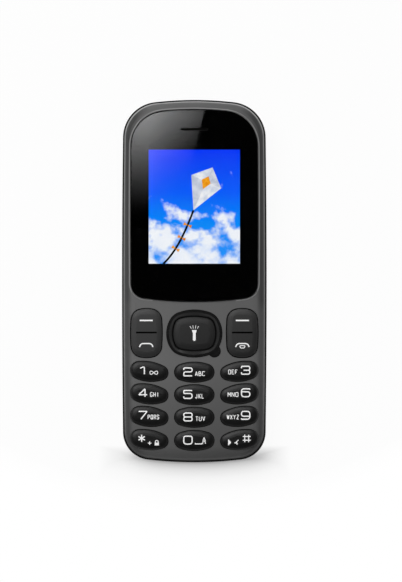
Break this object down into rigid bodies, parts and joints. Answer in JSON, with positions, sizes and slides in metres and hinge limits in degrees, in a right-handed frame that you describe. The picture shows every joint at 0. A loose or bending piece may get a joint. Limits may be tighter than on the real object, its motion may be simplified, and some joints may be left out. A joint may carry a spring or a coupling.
{
  "type": "mobile phone",
  "caption": "Candy-bar mobile phone with a keypad, a navigation ring, a small colour display, a removable back cover and battery, and sockets at its bottom end.",
  "frame": {"origin": "centre of the flat back, on the surface that the phone lies on", "axes": "+X to the right seen from the front, +Y towards the earpiece, +Z out of the screen"},
  "size_m": [0.0446, 0.1116, 0.0148],
  "materials": {
    "cover_plastic": "dark grey, satin with a faint metallic lustre",
    "band_plastic": "gloss black",
    "lens_clear": "clear hard-coated acrylic, polished",
    "mask_black": "black printed film",
    "display": "lit colour picture behind polished glass",
    "tray_white": "white moulded",
    "flex_film": "amber polyimide film",
    "mesh_steel": "fine woven mesh, dark",
    "driver_black": "black moulded",
    "key_plastic": "dark, semi-gloss, printed white legends",
    "ring_gloss": "gloss black with a bright bead",
    "plain_steel": "thin rolled steel",
    "mat_rubber": "moulded silicone",
    "board_green": "green solder mask",
    "battery_case": "plain wrapped cell",
    "connector_black": "black moulded",
    "window_clear": "clear polished",
    "led_white": "white package with a yellow phosphor",
    "weight_metal": "sintered heavy metal",
    "screw_steel": "black oxide steel"
  },
  "bodies": {
    "housing": {"front_cover": "cover_plastic", "mid_frame": "band_plastic", "screen_lens": "lens_clear", "lens_gasket": "mask_black", "lcd_panel": "display", "lcd_backlight": "tray_white", "lcd_flex": "flex_film", "earpiece_mesh": "mesh_steel", "earpiece_receiver": "driver_black", "keypad_mat": "mat_rubber", "key_domes": "plain_steel", "main_board": "board_green", "radio_shield": "plain_steel", "processor_shield": "plain_steel", "sim_holder_1": "plain_steel", "sim_holder_2": "plain_steel", "battery_connector": "connector_black", "camera_module": "driver_black", "torch_led": "led_white", "loudspeaker": "driver_black", "antenna_carrier": "connector_black", "usb_port": "plain_steel", "usb_tongue": "connector_black", "headphone_jack": "connector_black", "microphone": "plain_steel", "microphone_boot": "mat_rubber", "vibration_motor": "plain_steel", "housing_screws": "screw_steel"},
    "rear_lid": {"back_cover": "cover_plastic", "camera_window": "window_clear", "torch_lens": "window_clear", "speaker_mesh": "mesh_steel"},
    "battery_pack": {"battery": "battery_case"},
    "left_rocker": {"left_rocker_key": "key_plastic"},
    "right_rocker": {"right_rocker_key": "key_plastic"},
    "nav_rocker": {"nav_spring_plate": "plain_steel"},
    "nav_pad": {"nav_ring": "ring_gloss"},
    "select_key": {"centre_key": "key_plastic"},
    "buzzer_weight": {"vibration_weight": "weight_metal"},
    "number_1": {"key_1": "key_plastic"},
    "number_2": {"key_2": "key_plastic"},
    "number_3": {"key_3": "key_plastic"},
    "number_4": {"key_4": "key_plastic"},
    "number_5": {"key_5": "key_plastic"},
    "number_6": {"key_6": "key_plastic"},
    "number_7": {"key_7": "key_plastic"},
    "number_8": {"key_8": "key_plastic"},
    "number_9": {"key_9": "key_plastic"},
    "number_star": {"key_star": "key_plastic"},
    "number_0": {"key_0": "key_plastic"},
    "number_hash": {"key_hash": "key_plastic"}
  },
  "joints": [
    {"name": "key_1_press", "type": "slide", "parent": "housing", "child": "number_1", "axis": [0, 0, -1], "range_m": [0, 0.0003], "stiffness_N_per_m": 600},
    {"name": "key_2_press", "type": "slide", "parent": "housing", "child": "number_2", "axis": [0, 0, -1], "range_m": [0, 0.0003], "stiffness_N_per_m": 600},
    {"name": "key_3_press", "type": "slide", "parent": "housing", "child": "number_3", "axis": [0, 0, -1], "range_m": [0, 0.0003], "stiffness_N_per_m": 600},
    {"name": "key_4_press", "type": "slide", "parent": "housing", "child": "number_4", "axis": [0, 0, -1], "range_m": [0, 0.0003], "stiffness_N_per_m": 600},
    {"name": "key_5_press", "type": "slide", "parent": "housing", "child": "number_5", "axis": [0, 0, -1], "range_m": [0, 0.0003], "stiffness_N_per_m": 600},
    {"name": "key_6_press", "type": "slide", "parent": "housing", "child": "number_6", "axis": [0, 0, -1], "range_m": [0, 0.0003], "stiffness_N_per_m": 600},
    {"name": "key_7_press", "type": "slide", "parent": "housing", "child": "number_7", "axis": [0, 0, -1], "range_m": [0, 0.0003], "stiffness_N_per_m": 600},
    {"name": "key_8_press", "type": "slide", "parent": "housing", "child": "number_8", "axis": [0, 0, -1], "range_m": [0, 0.0003], "stiffness_N_per_m": 600},
    {"name": "key_9_press", "type": "slide", "parent": "housing", "child": "number_9", "axis": [0, 0, -1], "range_m": [0, 0.0003], "stiffness_N_per_m": 600},
    {"name": "key_star_press", "type": "slide", "parent": "housing", "child": "number_star", "axis": [0, 0, -1], "range_m": [0, 0.0003], "stiffness_N_per_m": 600},
    {"name": "key_0_press", "type": "slide", "parent": "housing", "child": "number_0", "axis": [0, 0, -1], "range_m": [0, 0.0003], "stiffness_N_per_m": 600},
    {"name": "key_hash_press", "type": "slide", "parent": "housing", "child": "number_hash", "axis": [0, 0, -1], "range_m": [0, 0.0003], "stiffness_N_per_m": 600},
    {"name": "centre_key_press", "type": "slide", "parent": "housing", "child": "select_key", "axis": [0, 0, -1], "range_m": [0, 0.0003], "stiffness_N_per_m": 600},
    {"name": "left_rocker_tilt", "type": "hinge", "parent": "housing", "child": "left_rocker", "pos_m": [-0.01468, -0.01592, 0.0123], "axis": [1, 0, 0], "range_deg": [-2, 2], "stiffness_Nm_per_rad": 0.15},
    {"name": "right_rocker_tilt", "type": "hinge", "parent": "housing", "child": "right_rocker", "pos_m": [0.01468, -0.01592, 0.0123], "axis": [1, 0, 0], "range_deg": [-2, 2], "stiffness_Nm_per_rad": 0.15},
    {"name": "nav_up_down", "type": "hinge", "parent": "housing", "child": "nav_rocker", "pos_m": [0, -0.01605, 0.0121], "axis": [1, 0, 0], "range_deg": [-1.2, 1.2], "stiffness_Nm_per_rad": 0.4},
    {"name": "nav_left_right", "type": "hinge", "parent": "nav_rocker", "child": "nav_pad", "pos_m": [0, -0.01605, 0.0121], "axis": [0, 1, 0], "range_deg": [-1.2, 1.2], "stiffness_Nm_per_rad": 0.4},
    {"name": "back_cover_off", "type": "slide", "parent": "housing", "child": "rear_lid", "axis": [0, 0, -1], "range_m": [0, 0.024]},
    {"name": "battery_out", "type": "slide", "parent": "housing", "child": "battery_pack", "axis": [0, 0, -1], "range_m": [0, 0.012]},
    {"name": "vibration_spin", "type": "hinge", "parent": "housing", "child": "buzzer_weight", "pos_m": [0.0139, -0.0465, 0.0063], "axis": [0, 1, 0], "continuous": true}
  ],
  "couplings": [
    {"joint": "battery_out", "follows": "back_cover_off", "ratio": 0.5}
  ]
}
